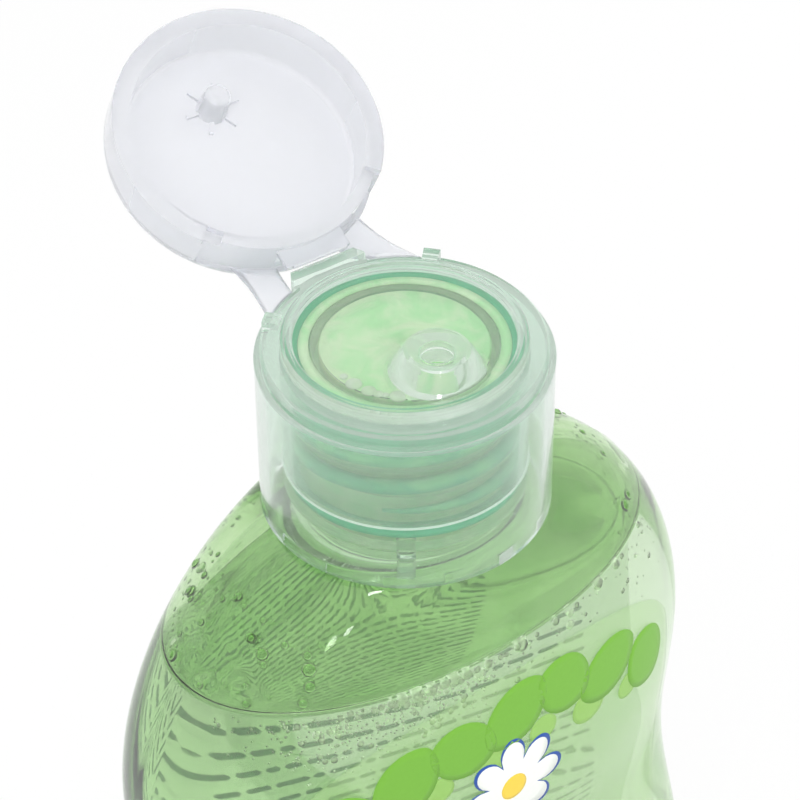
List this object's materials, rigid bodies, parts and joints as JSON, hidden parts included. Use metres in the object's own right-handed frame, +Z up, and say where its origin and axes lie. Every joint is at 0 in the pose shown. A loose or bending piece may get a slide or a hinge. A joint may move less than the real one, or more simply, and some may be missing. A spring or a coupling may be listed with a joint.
{
  "type": "shampoo bottle with flip-top cap",
  "caption": "Clear waisted oval bottle of green shampoo with a milky screw cap whose hinged flip lid stands open over its spout.",
  "frame": {"origin": "centre of the bottle's base, in the plane of the ring that it stands on", "axes": "+Z up along the neck's axis, +Y from the front label towards the back label, +X across the width of the bottle"},
  "size_m": [0.0924, 0.0779, 0.1916],
  "materials": {
    "clear_pet": "clear blown PET",
    "shampoo_gel": "clear green liquid gel",
    "label_film": "printed clear polypropylene film",
    "milky_pp": "natural unpigmented polypropylene, translucent, satin moulded"
  },
  "bodies": {
    "bottle": {"bottle": "clear_pet", "shampoo": "shampoo_gel", "front_label": "label_film", "back_label": "label_film"},
    "cap": {"cap_base": "milky_pp", "hinge_film": "milky_pp", "strap_left": "milky_pp", "strap_right": "milky_pp"},
    "lid": {"lid": "milky_pp"}
  },
  "joints": [
    {"name": "cap_turn", "type": "hinge", "parent": "bottle", "child": "cap", "pos_m": [0, 0, 0.15], "axis": [0, 0, 1], "range_deg": [0, 540]},
    {"name": "lid_hinge", "type": "hinge", "parent": "cap", "child": "lid", "pos_m": [0.00164, 0.01875, 0.17373], "axis": [0.9962, -0.0872, 0], "range_deg": [-23.8, 151.2], "deforming": ["hinge_film", "strap_left", "strap_right"]}
  ]
}
